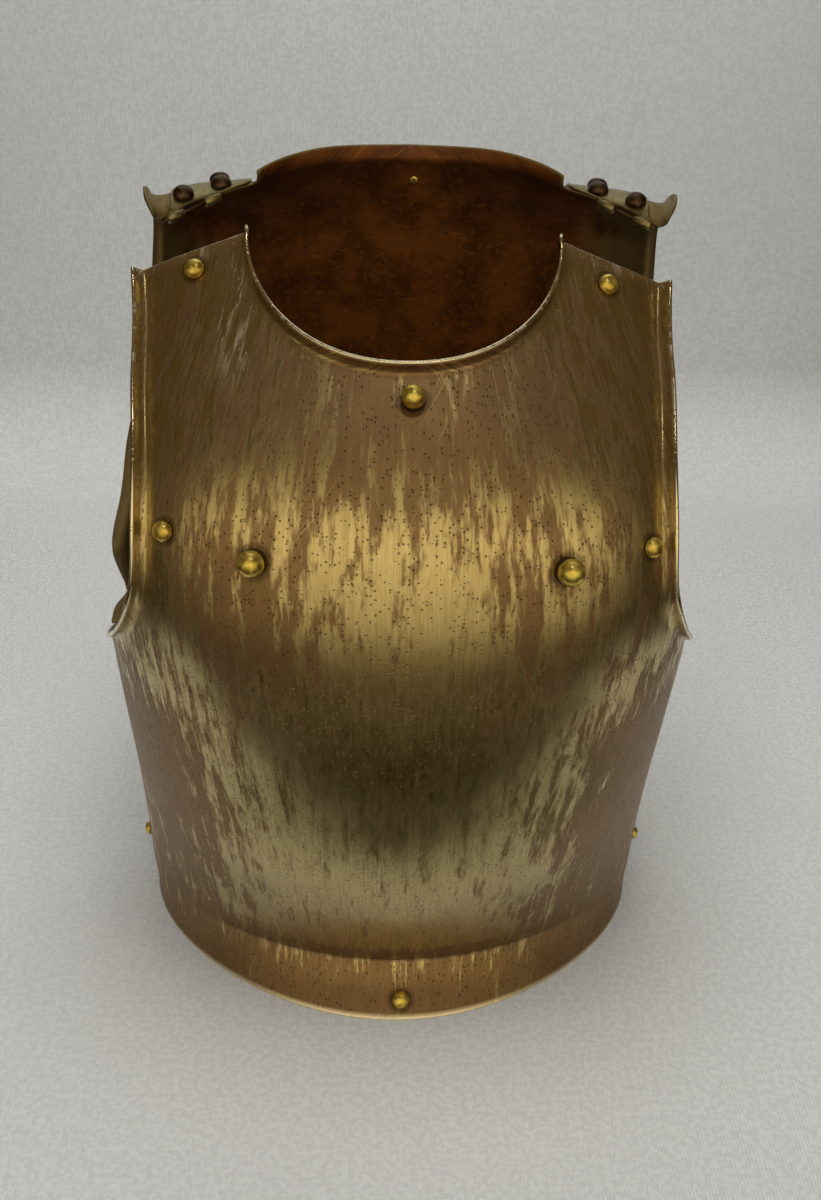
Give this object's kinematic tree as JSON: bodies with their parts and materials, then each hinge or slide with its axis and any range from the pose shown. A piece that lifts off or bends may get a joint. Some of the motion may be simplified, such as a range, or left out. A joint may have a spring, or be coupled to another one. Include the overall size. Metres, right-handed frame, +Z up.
{
  "type": "cavalry cuirass",
  "caption": "Horse soldier's steel body armour: a ridged breastplate and a back plate with turned edges, round-headed rivets and shoulder hinge leaves.",
  "frame": {"origin": "middle of the base, on the floor the waist edges stand on", "axes": "+X towards the viewer's right, +Y from the breastplate to the back plate, +Z up"},
  "size_m": [0.3633, 0.3274, 0.4766],
  "materials": {
    "front_steel": "aged, brushed, brown-stained",
    "back_steel": "rusted inside, dull",
    "rivet_brass": "worn, darkened at the edges",
    "old_brass": "dull",
    "dark_iron": "dark, worn"
  },
  "bodies": {
    "root": {"neck_stud": "rivet_brass", "shoulder_rivet_l": "rivet_brass", "shoulder_rivet_r": "rivet_brass", "armhole_rivet_l": "rivet_brass", "armhole_rivet_r": "rivet_brass", "chest_stud_l": "rivet_brass", "chest_stud_r": "rivet_brass", "underarm_rivet_l": "rivet_brass", "underarm_rivet_r": "rivet_brass", "side_rivet_l": "rivet_brass", "side_rivet_r": "rivet_brass", "waist_rivet": "rivet_brass", "back_neck_rivet": "rivet_brass", "back_armhole_rivet_l": "rivet_brass", "back_armhole_rivet_r": "rivet_brass", "back_underarm_rivet_l": "rivet_brass", "back_underarm_rivet_r": "rivet_brass", "back_side_rivet_l": "rivet_brass", "back_side_rivet_r": "rivet_brass", "back_waist_rivet": "rivet_brass", "hinge_rivet_inner_l": "dark_iron", "hinge_rivet_outer_l": "dark_iron", "hinge_rivet_rear_l": "dark_iron", "hinge_leaf_l": "old_brass", "hinge_pin_l": "dark_iron", "hinge_rivet_inner_r": "dark_iron", "hinge_rivet_outer_r": "dark_iron", "hinge_rivet_rear_r": "dark_iron", "hinge_leaf_r": "old_brass", "hinge_pin_r": "dark_iron", "breastplate": "front_steel", "back_plate": "back_steel"}
  },
  "joints": []
}
